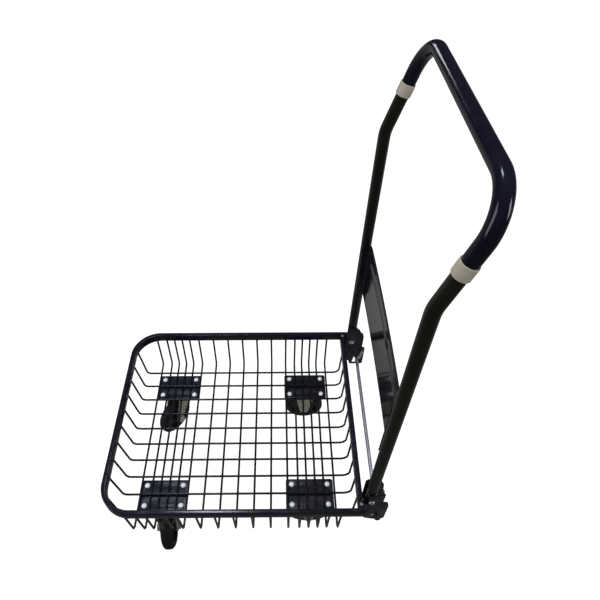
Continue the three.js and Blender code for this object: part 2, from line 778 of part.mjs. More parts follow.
// Tension spring from the rod up to its pin: an eye round each, and the coil between them
class CoilLine extends THREE.Curve {
  constructor(from, to, radius, turns) {
    super();
    Object.assign(this, { from, to, radius, turns });
  }
  getPoint(t) {
    const axis = this.to.clone().sub(this.from).normalize();
    const across = at(0, 1, 0);
    const other = new THREE.Vector3().crossVectors(axis, across);
    const swell = Math.min(1, t * 8, (1 - t) * 8) * this.radius;
    const a = t * this.turns * 2 * Math.PI;
    return this.from.clone().lerp(this.to, t)
      .addScaledVector(across, swell * Math.cos(a)).addScaledVector(other, swell * Math.sin(a));
  }
}

function lockSpring() {
  const wire = springWire / 2;
  const low = at(rodX, springY, rodZ);
  const high = at(springPinX, springY, springPinZ);
  const axis = high.clone().sub(low).normalize();
  const lowEye = rodDiameter / 2 + seatGap + wire;
  const highEye = springPinDiameter / 2 + seatGap + wire;
  const eye = (radius, centre) => new THREE.TorusGeometry(radius, wire, 4, 8)
    .rotateX(Math.PI / 2).translate(centre.x, centre.y, centre.z);
  const coil = new THREE.ExtrudeGeometry(regular(wire, 4), {
    extrudePath: new CoilLine(low.clone().addScaledVector(axis, lowEye),
      high.clone().addScaledVector(axis, -highEye), springCoilRadius, springTurns),
    steps: springTurns * 6, bevelEnabled: false,
  });
  return join(eye(lowEye, low), eye(highEye, high), coil);
}

add('lock_rod', bar('y', rodDiameter / 2, -rodEndY, rodEndY, 12).translate(rodX, 0, rodZ), zinc);

// Pressed cap on the rod's end, which keeps the rod from sliding out sideways
function rodCap() {
  const inner = rodDiameter / 2 + seatGap;
  const outer = inner + capWall;
  const start = outerFaceY + 2 * seatGap;
  const face = rodEndY + seatGap;
  const end = face + capThickness;
  return turned([
    [inner, start], [outer, start], [outer, end - 1.5], [outer - 1.5, end], [0, end],
    [0, face], [inner, face], [inner, start],
  ], 12).rotateX(-Math.PI / 2).translate(rodX, 0, rodZ);
}

sides.forEach(([name, side]) => {
  const onSide = (geometry) => (side > 0 ? geometry : mirrored(geometry));
  add(`hinge_bracket_${name}`, onSide(hingeBracket()), blackPaint);
  add(`pivot_bolt_${name}`, onSide(pivotBolt()), zinc);
  add(`lock_spring_${name}`, onSide(lockSpring()), zinc);
  add(`rod_cap_${name}`, onSide(rodCap()), zinc);
});

// ---------------------------------------------------------------- origin

// The origin is on the ground under the middle of the whole trolley
const box = new THREE.Box3().setFromObject(trolley, true);
trolley.position.x = -(box.min.x + box.max.x) / 2;

export default trolley;
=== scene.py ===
import math

import bmesh
import bpy
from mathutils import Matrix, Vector


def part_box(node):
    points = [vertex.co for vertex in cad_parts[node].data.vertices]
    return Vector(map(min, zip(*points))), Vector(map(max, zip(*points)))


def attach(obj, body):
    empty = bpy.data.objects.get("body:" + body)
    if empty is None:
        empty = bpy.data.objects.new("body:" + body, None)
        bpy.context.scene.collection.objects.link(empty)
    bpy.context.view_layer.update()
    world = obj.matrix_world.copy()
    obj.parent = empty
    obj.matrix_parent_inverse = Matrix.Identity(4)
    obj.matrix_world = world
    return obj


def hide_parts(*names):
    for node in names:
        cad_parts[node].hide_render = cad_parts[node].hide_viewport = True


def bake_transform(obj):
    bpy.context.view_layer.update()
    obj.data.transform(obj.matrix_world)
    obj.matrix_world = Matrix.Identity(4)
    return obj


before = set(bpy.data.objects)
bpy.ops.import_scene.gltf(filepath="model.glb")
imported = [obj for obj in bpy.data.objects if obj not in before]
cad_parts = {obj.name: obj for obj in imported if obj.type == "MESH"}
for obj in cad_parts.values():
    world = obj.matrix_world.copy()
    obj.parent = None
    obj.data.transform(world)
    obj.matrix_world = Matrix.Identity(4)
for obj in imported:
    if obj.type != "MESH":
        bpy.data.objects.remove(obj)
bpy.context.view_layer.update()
bpy.context.scene.view_settings.view_transform = "Standard"

# ------------------------------------------------------------------ sizes, in millimetres
# x is measured from the middle of the wire floor, as the trolley is laid out.

FRAME_FRONT = -267
RAIL_WIDTH = 10
RAIL_HEIGHT = 22
RAIL_WALL = 1.2
RAIL_TOP = 256
RAIL_Z = RAIL_TOP - RAIL_HEIGHT / 2
RAIL_BOTTOM = RAIL_TOP - RAIL_HEIGHT
RAIL_Y = 220
RAIL_FRONT = FRAME_FRONT + RAIL_WIDTH / 2
RAIL_END = 261
RAIL_CORNER = 60
CROSSBAR_X = 253
CROSSBAR_BOLT_Y = 209
CROSSBAR_END = 214.7
CROSSBAR_HOLE = 2.9

WIRE = 2.4  # radius
CROSS_WIRE_Z = 137.5
LONG_WIRE_Z = 141.1
FLOOR_HALF_WIDTH = 213
FLOOR_FRONT = -251
FLOOR_REAR = 250
CROSS_WIRES = (0, 37, 74, 111, 134.5, 153.7, 172.9, 192.1, 215.6)
LONG_WIRES = (20, 60, 100, 140, 180)

FRONT_CASTER = -163.6
REAR_CASTER = 160
CASTER_Y = 140.5
WHEEL = 50
TYRE_R = 49.5
TYRE_WIDTH = 28
RIM = 38
HUB_HALF = TYRE_WIDTH / 2 + 2
FORK_IN = HUB_HALF + 2.2
FORK_SHEET = 2.5
PLATE_TOP = 131.9
PLATE_SHEET = 2.5
CASTER_PLATE = (94, 64)
DECK_TOP = 135.2
DECK_SHEET = 3
DECK_PLATE = (106, 70)
BOLT_X = 40
BOLT_Y = 22.5
TRAIL = 37
KINGPIN_HOLE = 6.3
CROWN_LENGTH = 52
CROWN_HALF = 25
CROWN_DROP = 7
EYE_R = 12
RIB = 3

HANDLE_X = 271.5
HANDLE_Y = 197
HANDLE_R = 10.5
HANDLE_WALL = 1.4
TAIL_Z = 204
KNEE_Z = 825
KNEE_BEND = 74
TOP_X = 316.24
TOP_Z = 978
TOP_BEND = 57
SLEEVE_R = 11.05
COLLAR_R = 12.5
COLLAR_Z = 894
COLLAR_LENGTH = 20
COLLAR_SLIP = 4  # the right collar sits this much higher than midway, the left this much lower

PANEL_LOW = 443
PANEL_HIGH = 583
PANEL_X = 278.2
PANEL_SHEET = 1.5
PANEL_BOW = 2.5
PANEL_FLANGE = 263
PANEL_HALF = HANDLE_Y - HANDLE_R - 0.3

PIVOT_Z = 271
PIVOT_HOLE = 4.3
CHEEK = 2.3
INNER_CHEEK = HANDLE_Y - HANDLE_R - 1.2 - CHEEK
OUTER_CHEEK = HANDLE_Y + HANDLE_R + 1.2
OUTER_FACE = OUTER_CHEEK + CHEEK
WEB_X = 258.3
BRACKET_LOW = 176
INNER_LOBE_TOP = 319
INNER_LOBE_REAR = 296
OUTER_LOBE_TOP = 299
WEB_LOW = 192
BRACKET_REAR = 308
TAB_TOP = 247
FLANGE_LOW = RAIL_TOP + 0.3
FLANGE_TOP = FLANGE_LOW + CHEEK
FLANGE_REAR = 266
FLANGE_FRONT = 249
FLANGE_IN = 190
FLANGE_OUT = 222
ROD_X = 292
ROD_Z = 197
ROD_R = 4
ROD_TRAVEL = 10
SPRING_PIN = (303.5, 242)
SPRING_WIRE = 0.65
SPRING_TURNS = 12
COIL_R = 2.9
COIL_STEPS = 16  # points in a turn
RIVET = (281, 206)

DAYLIGHT = (0.88, 0.91, 1.0)
SKY_LIGHT = 0.6
# Gloss mirrors a dimmer room than the white one that is seen directly.
SKY_MIRRORED = 0.04
CEILING_MIRRORED = (0.115, 0.13, 0.175, 1)
NEAR_FLOOR_MIRRORED = (0.07, 0.07, 0.063, 1)
FAR_FLOOR_MIRRORED = (0.26, 0.26, 0.25, 1)
FLOOR_SHADOW = 0.12

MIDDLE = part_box("frame_tube")[0].x * 1000 - FRAME_FRONT


def place(x, y, z):
    """A point of the layout, in the shared frame and in metres."""
    return Vector((x + MIDDLE, y, z)) / 1000


# ------------------------------------------------------------------ shader sockets


class Value:
    """A shader socket that takes part in sums."""

    def __init__(self, tree, socket):
        self.tree, self.socket = tree, socket

    def node(self, kind, inputs=None, out=0, **settings):
        return make(self.tree, kind, inputs, out, **settings)

    def sum(self, operation, a, b):
        return self.node("ShaderNodeMath", {0: a, 1: b}, operation=operation)

    def __add__(self, other):
        return self.sum("ADD", self, other)

    def __radd__(self, other):
        return self.sum("ADD", other, self)

    def __sub__(self, other):
        return self.sum("SUBTRACT", self, other)

    def __rsub__(self, other):
        return self.sum("SUBTRACT", other, self)

    def __mul__(self, other):
        return self.sum("MULTIPLY", self, other)

    def __rmul__(self, other):
        return self.sum("MULTIPLY", other, self)

    def __pow__(self, other):
        return self.sum("POWER", self, other)

    def ramp(self, low, high, to_low=0.0, to_high=1.0):
        """This value, with low..high spread over to_low..to_high and held there."""
        return self.node(
            "ShaderNodeMapRange", {0: self, 1: low, 2: high, 3: to_low, 4: to_high}
        )

    def mix(self, a, b):
        """Colour a where this value is 0, and b where it is 1."""
        return self.node(
            "ShaderNodeMix", {"Factor": self, 6: a, 7: b}, out=2, data_type="RGBA"
        )


def make(tree, kind, inputs=None, out=0, **settings):
    node = tree.nodes.new(kind)
    for name, setting in settings.items():
        setattr(node, name, setting)
    for key, value in (inputs or {}).items():
        if isinstance(value, Value):
            tree.links.new(value.socket, node.inputs[key])
        else:
            node.inputs[key].default_value = value
    return Value(tree, node.outputs[out])


class Surface:
    """A material with one Principled shader, and the coordinates of its object."""

    def __init__(self, name, **constants):
        self.material = bpy.data.materials.new(name)
        self.material.use_nodes = True
        self.tree = self.material.node_tree
        self.shader = self.tree.nodes["Principled BSDF"]
        self.here = make(self.tree, "ShaderNodeTexCoord", out=3)
        for key, value in constants.items():
            self.shader.inputs[key.replace("_", " ")].default_value = value

    def noise(self, scale, detail=3.0, rough=0.5):
        return make(
            self.tree,
            "ShaderNodeTexNoise",
            {"Vector": self.here, "Scale": scale, "Detail": detail, "Roughness": rough},
        )

    def upward(self):
        """1 on a face that looks up, and 0 on one that stands or looks down."""
        normal = make(self.tree, "ShaderNodeNewGeometry", out=1)
        return make(self.tree, "ShaderNodeSeparateXYZ", {0: normal}, out=2).ramp(0.2, 1)

    def set(self, **varying):
        for key, value in varying.items():
            self.tree.links.new(value.socket, self.shader.inputs[key.replace("_", " ")])
        return self

    def bump(self, height, strength, distance):
        bump = make(
            self.tree,
            "ShaderNodeBump",
            {"Height": height, "Strength": strength, "Distance": distance},
        )
        return self.set(Normal=bump)


DUST = (0.022, 0.022, 0.023, 1)


def paint(name, dark, light, roughness):
    s = Surface(name, Specular_IOR_Level=0.4)
    patches = s.noise(14.0, 4.0)
    dust = s.upward() * s.noise(60.0, 6.0, 0.7).ramp(0.45, 0.8, 0, 0.35)
    s.set(
        Base_Color=dust.mix(patches.ramp(0.3, 0.7).mix(dark, light), DUST),
        Roughness=patches.ramp(0.25, 0.75, roughness, roughness + 0.05) + dust * 0.3,
    )
    return s.bump(s.noise(900.0, 2.0), 0.05, 0.0002).material


def plating(name, dark, light, roughness, metallic=1.0):
    s = Surface(name, Metallic=metallic)
    grain = s.noise(260.0, 4.0, 0.6)
    cloud = s.noise(35.0, 3.0)
    s.set(
        Base_Color=cloud.ramp(0.35, 0.7).mix(dark, light),
        Roughness=grain.ramp(0.3, 0.7, roughness, roughness + 0.18),
    )
    return s.bump(grain, 0.15, 0.0002).material


def moulding(name, dark, light, roughness, grain_scale=700.0, strength=0.15):
    s = Surface(name, Specular_IOR_Level=0.3)
    grain = s.noise(grain_scale, 3.0)
    cloud = s.noise(40.0, 4.0)
    s.set(
        Base_Color=cloud.ramp(0.3, 0.7).mix(dark, light),
        Roughness=cloud.ramp(0.3, 0.7, roughness, roughness + 0.1),
    )
    return s.bump(grain, strength, 0.0003).material


# The black paint's blue tint is a painted reflection of the bluish ceiling.
PAINT = paint("black_paint", (0.003, 0.003, 0.0052, 1), (0.0047, 0.0047, 0.009, 1), 0.12)
# The handle paint's warm, olive tint is a painted reflection of the floor.
HANDLE_PAINT = paint(
    "handle_paint_painted_floor_reflection", (0.0032, 0.0031, 0.0024, 1), (0.0052, 0.005, 0.0034, 1), 0.12
)
# The front deck plates' blue is a painted reflection of the bluish ceiling; the rear plates keep
# plain black paint.
PLATE_PAINT = {
    "front": paint(
        "plate_paint_painted_sky_reflection", (0.0018, 0.0024, 0.0075, 1), (0.003, 0.004, 0.014, 1), 0.28
    ),
    "rear": paint(
        "dull_black_paint", (0.0025, 0.0025, 0.003, 1), (0.004, 0.004, 0.0046, 1), 0.3
    ),
}
PANEL_PAINT = paint("panel_paint", (0.004, 0.004, 0.006, 1), (0.006, 0.006, 0.009, 1), 0.08)
ZINC = plating("bright_zinc", (0.72, 0.73, 0.74, 1), (0.86, 0.87, 0.87, 1), 0.3)
BOLT_ZINC = plating("pale_zinc", (0.62, 0.63, 0.67, 1), (0.76, 0.77, 0.81, 1), 0.3, 0.35)
FORK_ZINC = plating("dull_zinc", (0.36, 0.36, 0.29, 1), (0.54, 0.54, 0.45, 1), 0.36, 0.8)
DARK_ZINC = plating("dark_zinc", (0.08, 0.08, 0.08, 1), (0.14, 0.14, 0.13, 1), 0.35)
RUBBER = moulding(
    "tyre_rubber", (0.0028, 0.0028, 0.0034, 1), (0.0055, 0.0055, 0.0058, 1), 0.55, 500.0, 0.3
)
NYLON = moulding("black_nylon", (0.006, 0.006, 0.008, 1), (0.010, 0.010, 0.013, 1), 0.38)
VINYL = moulding(
    "grip_vinyl", (0.0025, 0.0023, 0.0052, 1), (0.0044, 0.0038, 0.0095, 1), 0.08, 600.0, 0.03
)
BEIGE = moulding("collar_plastic", (0.22, 0.20, 0.15, 1), (0.29, 0.26, 0.20, 1), 0.42)


# ------------------------------------------------------------------ shaping


def from_bmesh(name, bm, material, sharp=32):
    bmesh.ops.remove_doubles(bm, verts=bm.verts, dist=1e-7)
    bmesh.ops.recalc_face_normals(bm, faces=bm.faces)
    mesh = bpy.data.meshes.new(name)
    bm.to_mesh(mesh)
    bm.free()
    mesh.materials.append(material)
    mesh.polygons.foreach_set("use_smooth", [True] * len(mesh.polygons))
    mesh.set_sharp_from_angle(angle=math.radians(sharp))
    piece = bpy.data.objects.new(name, mesh)
    bpy.context.scene.collection.objects.link(piece)
    return piece


def circle(radius, count=32):
    return [
        (radius * math.cos(2 * math.pi * k / count), radius * math.sin(2 * math.pi * k / count))
        for k in range(count)
    ]


def rounded(width, height, radius, count=4):
    """A rectangle with round corners, as points in order."""
    points = []
    for quarter, (sx, sy) in enumerate(((1, 1), (-1, 1), (-1, -1), (1, -1))):
        for k in range(count + 1):
            a = math.pi / 2 * (quarter + k / count)
            points.append(
                (
                    sx * (width / 2 - radius) + radius * math.cos(a),
                    sy * (height / 2 - radius) + radius * math.sin(a),
                )
            )
    return points


def bent_path(corners, step=5):
    """Stations (point, direction) along straight runs joined by bends of a given radius."""
    stations = []
    last = len(corners) - 1
    for i, (point, radius) in enumerate(corners):
        point = Vector(point)
        before = Vector(corners[max(i - 1, 0)][0])
        after = Vector(corners[min(i + 1, last)][0])
        if i in (0, last):
            stations.append((point, (after - before).normalized()))
            continue
        into, out = (point - before).normalized(), (after - point).normalized()
        turn = into.angle(out)
        side = (out - into * out.dot(into)).normalized()
        start = point - into * radius * math.tan(turn / 2)
        count = max(2, math.ceil(math.degrees(turn) / step))
        for k in range(count + 1):
            a = turn * k / count
            stations.append(
                (
                    start + into * radius * math.sin(a) + side * radius * (1 - math.cos(a)),
                    into * math.cos(a) + side * math.sin(a),
                )
            )
    return stations


def joined(bm, rings):
    """Adds the faces between each closed ring of points and the next."""
    for one, two in zip(rings, rings[1:]):
        for k in range(len(one)):
            j = (k + 1) % len(one)
            bm.faces.new((one[k], one[j], two[j], two[k]))


def swept(bm, stations, section, bore=None, up=(0, 0, 1)):
    """Adds a bar or tube along stations given in layout millimetres to bm."""
    layers = []
    normal = Vector(up)
    frames = []
    for point, direction in stations:
        normal = (normal - direction * normal.dot(direction)).normalized()
        frames.append((point, normal, direction.cross(normal)))
    for shape in (section, bore) if bore else (section,):
        rings = []
        for point, n, b in frames:
            rings.append([bm.verts.new(place(*(point + n * u + b * v))) for u, v in shape])
        joined(bm, rings)
        layers.append(rings)
    for end in (0, -1):
        if bore:
            outer, inner = layers[0][end], layers[1][end]
            for k in range(len(section)):
                j = (k + 1) % len(section)
                bm.faces.new((outer[k], outer[j], inner[j], inner[k]))
        else:
            bm.faces.new(layers[0][end])


def tube(name, corners, section, material, bore=None, up=(0, 0, 1), step=5):
    bm = bmesh.new()
    swept(bm, bent_path(corners, step), section, bore, up)
    return from_bmesh(name, bm, material)


def turned(bm, profile, centre, axis=(0, 0, 1), count=48):
    """Adds a solid of revolution: profile is (radius, distance along axis)."""
    axis = Vector(axis).normalized()
    side = axis.orthogonal().normalized()
    other = axis.cross(side)
    rings = []
    for radius, along in profile:
        rings.append(
            [
                bm.verts.new(
                    place(
                        *(
                            Vector(centre)
                            + axis * along
                            + side * radius * math.cos(2 * math.pi * k / count)
                            + other * radius * math.sin(2 * math.pi * k / count)
                        )
                    )
                )
                for k in range(count)
            ]
        )
    joined(bm, rings)
    bmesh.ops.remove_doubles(bm, verts=[v for ring in rings for v in ring], dist=1e-7)


def lathe(name, profile, centre, axis, material, count=48, sharp=32):
    bm = bmesh.new()
    turned(bm, profile, centre, axis, count)
    return from_bmesh(name, bm, material, sharp)


def sheet(bm, outlines, thickness, origin, u, v, edge=0.4, resolution=2):
    """Adds a flat plate to bm. The first outline is its edge and the others are holes, in
    millimetres along u and v from origin; the plate is thickness deep, half each way."""
    curve = bpy.data.curves.new("outline", "CURVE")
    curve.dimensions = "2D"
    curve.fill_mode = "BOTH"
    curve.extrude = thickness / 2 - edge
    curve.bevel_depth = edge
    curve.bevel_resolution = resolution
    curve.offset = -edge
    for outline in outlines:
        spline = curve.splines.new("POLY")
        spline.points.add(len(outline) - 1)
        spline.use_cyclic_u = True
        for point, (x, y) in zip(spline.points, outline):
            point.co = (x, y, 0, 1)
    holder = bpy.data.objects.new("outline", curve)
    bpy.context.scene.collection.objects.link(holder)
    flat = bpy.data.meshes.new_from_object(
        holder.evaluated_get(bpy.context.evaluated_depsgraph_get())
    )
    u, v = Vector(u), Vector(v)
    w = u.cross(v)
    for vertex in flat.vertices:
        x, y, z = vertex.co
        vertex.co = place(*(Vector(origin) + u * x + v * y + w * z))
    bm.from_mesh(flat)
    bpy.data.objects.remove(holder)
    bpy.data.curves.remove(curve)
    bpy.data.meshes.remove(flat)


def round_hole(x, y, radius, count=24):
    return [(x + a, y + b) for a, b in circle(radius, count)]


def arc(x, y, radius, start, end, count=10):
    """Points on a circle from start to end, in degrees."""
    return [
        (
            x + radius * math.cos(math.radians(start + (end - start) * k / count)),
            y + radius * math.sin(math.radians(start + (end - start) * k / count)),
        )
        for k in range(count + 1)
    ]


def softened(points, radius, count=4):
    """A polygon with each corner rounded."""
    result = []
    for i, p in enumerate(points):
        p, a, b = Vector(p), Vector(points[i - 1]), Vector(points[(i + 1) % len(points)])
        into, out = (p - a).normalized(), (b - p).normalized()
        turn = into.angle(out)
        reach = min(radius * math.tan(turn / 2), (p - a).length * 0.45, (b - p).length * 0.45)
        for k in range(count + 1):
            t = k / count
            q0, q1 = p - into * reach, p + out * reach
            result.append(tuple(q0 * (1 - t) ** 2 + p * 2 * t * (1 - t) + q1 * t * t))
    return result


def dress(piece, body, slot, *nodes):
    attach(piece, body)
    if nodes:
        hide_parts(*nodes)
    return piece


SIDES = (("left", -1), ("right", 1))

# ------------------------------------------------------------------ camera

camera = bpy.data.objects.new("camera", bpy.data.cameras.new("camera"))
bpy.context.scene.collection.objects.link(camera)
camera.location = place(91.742, -583.293, 1269.35)
camera.rotation_euler = [math.radians(a) for a in (42.001, -0.223, -0.586)]
camera.data.sensor_width = 36
camera.data.lens = 30.707
camera.data.shift_x = 0.02825
camera.data.shift_y = 0.00232
camera.data.clip_end = 50
bpy.context.scene.camera = camera

# ------------------------------------------------------------------ frame and basket

rail_section = rounded(RAIL_HEIGHT, RAIL_WIDTH, 2)
rail_bore = rounded(RAIL_HEIGHT - 2 * RAIL_WALL, RAIL_WIDTH - 2 * RAIL_WALL, 0.8)
rail = tube(
    "frame_rail",
    [
        ((RAIL_END, RAIL_Y, RAIL_Z), 0),
        ((RAIL_FRONT, RAIL_Y, RAIL_Z), RAIL_CORNER),
        ((RAIL_FRONT, -RAIL_Y, RAIL_Z), RAIL_CORNER),
        ((RAIL_END, -RAIL_Y, RAIL_Z), 0),
    ],
    rail_section,
    PAINT,
    rail_bore,
    step=3,
)
dress(rail, "frame", "frame_paint", "frame_tube")
crossbar = tube(
    "crossbar",
    [((CROSSBAR_X, CROSSBAR_END, RAIL_Z), 0), ((CROSSBAR_X, -CROSSBAR_END, RAIL_Z), 0)],
    rail_section,
    PAINT,
    rail_bore,
)
dress(crossbar, "frame", "frame_paint", "rear_crossbar")


def rail_y(x):
    into = RAIL_FRONT + RAIL_CORNER - x
    if into <= 0:
        return RAIL_Y
    return RAIL_Y - RAIL_CORNER + math.sqrt(RAIL_CORNER**2 - into**2)


def rail_x(y):
    into = abs(y) - (RAIL_Y - RAIL_CORNER)
    if into <= 0:
        return RAIL_FRONT
    return RAIL_FRONT + RAIL_CORNER - math.sqrt(RAIL_CORNER**2 - into**2)


wires = bmesh.new()
for x in sorted({side * x for x in CROSS_WIRES for side in (1, -1)}):
    corners = [
        ((x, rail_y(x), RAIL_BOTTOM), 0),
        ((x, FLOOR_HALF_WIDTH, CROSS_WIRE_Z), 10),
        ((x, -FLOOR_HALF_WIDTH, CROSS_WIRE_Z), 10),
        ((x, -rail_y(x), RAIL_BOTTOM), 0),
    ]
    swept(wires, bent_path(corners, 12), circle(WIRE, 12), up=(1, 0, 0))
for y in sorted(side * y for y in LONG_WIRES for side in (1, -1)):
    corners = [
        ((rail_x(y), y, RAIL_BOTTOM), 0),
        ((FLOOR_FRONT, y, LONG_WIRE_Z), 10),
        ((FLOOR_REAR, y, LONG_WIRE_Z), 17),
        ((CROSSBAR_X, y, RAIL_BOTTOM), 0),
    ]
    swept(wires, bent_path(corners, 12), circle(WIRE, 12), up=(0, 1, 0))
basket = from_bmesh("basket_wires", wires, PAINT, 50)
dress(basket, "frame", "frame_paint", "wire_basket")

for name, side in SIDES:
    bm = bmesh.new()
    top = (CROSSBAR_X, side * CROSSBAR_BOLT_Y, FLANGE_TOP)
    turned(bm, [(0, 2.2), (1.5, 2.1), (2.6, 1.4), (3.1, 0.2), (0, 0)], top, count=32)
    low = (CROSSBAR_X, side * CROSSBAR_BOLT_Y, RAIL_BOTTOM)
    turned(bm, [(2.5, 1), (2.5, -5.5), (0, -6)], low, count=24)
    sheet(bm, [circle(4.6, 6)], 4, (low[0], low[1], low[2] - 2.2), (1, 0, 0), (0, 1, 0))
    bolt = from_bmesh("crossbar_bolt_piece_" + name, bm, FORK_ZINC)
    dress(bolt, "frame", "zinc", "crossbar_bolt_" + name)

# ------------------------------------------------------------------ casters

BOLT_PLACES = [(sx * BOLT_X, sy * BOLT_Y) for sx in (-1, 1) for sy in (-1, 1)]
BOLT_ORDER = [(-1, -1), (1, -1), (-1, 1), (1, 1)]


def caster_bolt(name, x, y):
    bm = bmesh.new()
    head = [(2.9, 0.1), (5.6, 0.1), (6.0, 0.5), (5.9, 1.1), (5.1, 2.3), (3.6, 3.2), (1.9, 3.7)]
    turned(bm, head + [(0, 3.9)], (x, y, DECK_TOP), count=32)
    low = PLATE_TOP - 10.3
    sheet(bm, [circle(5.75, 6)], 5, (x, y, low + 5), (1, 0, 0), (0, 1, 0), 0.5)
    turned(bm, [(0, low), (2.6, low + 0.2), (3, low + 0.8), (3, DECK_TOP + 1)], (x, y, 0),
           count=24)
    return from_bmesh(name, bm, BOLT_ZINC)


def leg_sheet(bm, base, forward, across, side, trail, crown_half, crown_z, rib):
    """One pressed fork leg: a sheet from the crown to the eye round the axle, with a raised
    rib down its middle. forward is the way that the crown is long, and across is the way that
    the axle lies."""
    eye = EYE_R
    rows = 26
    columns = 18
    low = WHEEL - eye
    grid = []
    for i in range(rows + 1):
        t = i / rows
        z = crown_z + (low - crown_z) * math.sin(t * math.pi / 2)
        if z > WHEEL:
            s = (crown_z - z) / (crown_z - WHEEL)
            middle = -trail * s
            half = crown_half + (eye - crown_half) * s
        else:
            middle = -trail
            half = math.sqrt(max(eye**2 - (WHEEL - z) ** 2, 0.01))
        grid.append((z, middle, half))
    skins = []
    for skin in (0, 1):
        rings = []
        for z, middle, half in grid:
            line = []
            for k in range(columns + 1):
                f = -1 + 2 * k / columns
                span = max(0.0, 1 - abs(f) / 0.42)
                fade = min(1.0, max(0.0, (z - WHEEL - 8) / 14))
                lift = rib * fade * (span * span * (3 - 2 * span))
                depth = FORK_IN + FORK_SHEET * skin + lift
                p = (
                    Vector(base)
                    + Vector(forward) * (middle + f * half)
                    + Vector(across) * side * depth
                )
                p.z = z
                line.append(bm.verts.new(place(*p)))
            rings.append(line)
        for one, two in zip(rings, rings[1:]):
            for k in range(columns):
                bm.faces.new((one[k], one[k + 1], two[k + 1], two[k]))
        skins.append(rings)
    inner, outer = skins
    edges = [
        (inner[0], outer[0]),
        (inner[-1], outer[-1]),
        ([r[0] for r in inner], [r[0] for r in outer]),
        ([r[-1] for r in inner], [r[-1] for r in outer]),
    ]
    for one, two in edges:
        for k in range(len(one) - 1):
            bm.faces.new((one[k], one[k + 1], two[k + 1], two[k]))


def wheel(corner, centre, axle):
    body = "wheel_" + corner
    half = TYRE_WIDTH / 2
    flank = [(RIM, half - 1.5), (RIM + 1.5, half), (TYRE_R - 9.5, half - 0.3),
             (TYRE_R - 5.5, half - 1.8), (TYRE_R - 1.8, half - 5.4), (TYRE_R - 0.8, half - 7),
             (TYRE_R - 0.3, half - 9.5), (TYRE_R, half - 13)]
    tread = [(r, -y) for r, y in flank] + flank[::-1] + [(RIM, -half + 1.5)]
    rubber = lathe("tyre_piece_" + corner, tread, centre, axle, RUBBER, 96, 40)
    dress(rubber, body, "tyre_rubber", "tyre_" + corner)
    rim = half - 2
    hub = [
        (5.3, -HUB_HALF), (10.6, -HUB_HALF), (11, -HUB_HALF + 0.5), (12.5, -4), (14, -3),
        (31, -3), (33, -4), (34, -rim), (RIM - 0.2, -rim),
    ]
    hub += [(r, -z) for r, z in reversed(hub)] + [hub[0]]
    core = lathe("hub_piece_" + corner, hub, centre, axle, NYLON, 72)
    dress(core, body, "hub_plastic", "wheel_hub_" + corner)


def axle_bolt(corner, body, centre, axle):
    bm = bmesh.new()
    face = FORK_IN + FORK_SHEET + 0.3
    axle = Vector(axle)
    up = Vector((0, 0, 1))
    along = axle.cross(up)
    for way in (1, -1):
        turned(bm, [(5.2, 0), (9.5, 0), (9.5, 1.4), (5.2, 1.4)],
               Vector(centre) + axle * way * face, axle * way, 32)
        sheet(bm, [circle(9.2, 6)], 4.4, Vector(centre) + axle * way * (face + 3.5),
              along, up, 0.7, 3)
    turned(bm, [(0, -face - 7), (4.4, -face - 7), (5, -face - 6), (5, face + 6), (0, face + 6.4)],
           centre, axle, 32)
    bolt = from_bmesh("axle_bolt_piece_" + corner, bm, ZINC)
    dress(bolt, body, "zinc", "axle_bolt_" + corner)


def caster_plate(bm, x, y, kingpin=False):
    outlines = [rounded(*CASTER_PLATE, 8, 6)] + [round_hole(a, b, 3.3) for a, b in BOLT_PLACES]
    if kingpin:
        outlines.append(round_hole(0, 0, KINGPIN_HOLE))
    middle = (x, y, PLATE_TOP - PLATE_SHEET / 2)
    sheet(bm, outlines, PLATE_SHEET, middle, (1, 0, 0), (0, 1, 0), 0.5)


def fixed_caster(corner, x, y):
    bm = bmesh.new()
    caster_plate(bm, x, y)
    for side in (1, -1):
        leg_sheet(bm, (x, y, 0), (1, 0, 0), (0, 1, 0), side, 0, CROWN_HALF, PLATE_TOP - 2,
                  RIB)
    fork = from_bmesh("fork_piece_" + corner, bm, FORK_ZINC, 40)
    dress(fork, "frame", "fork_zinc", "fixed_fork_" + corner)
    axle_bolt(corner, "frame", (x, y, WHEEL), (0, 1, 0))
    wheel(corner, (x, y, WHEEL), (0, 1, 0))


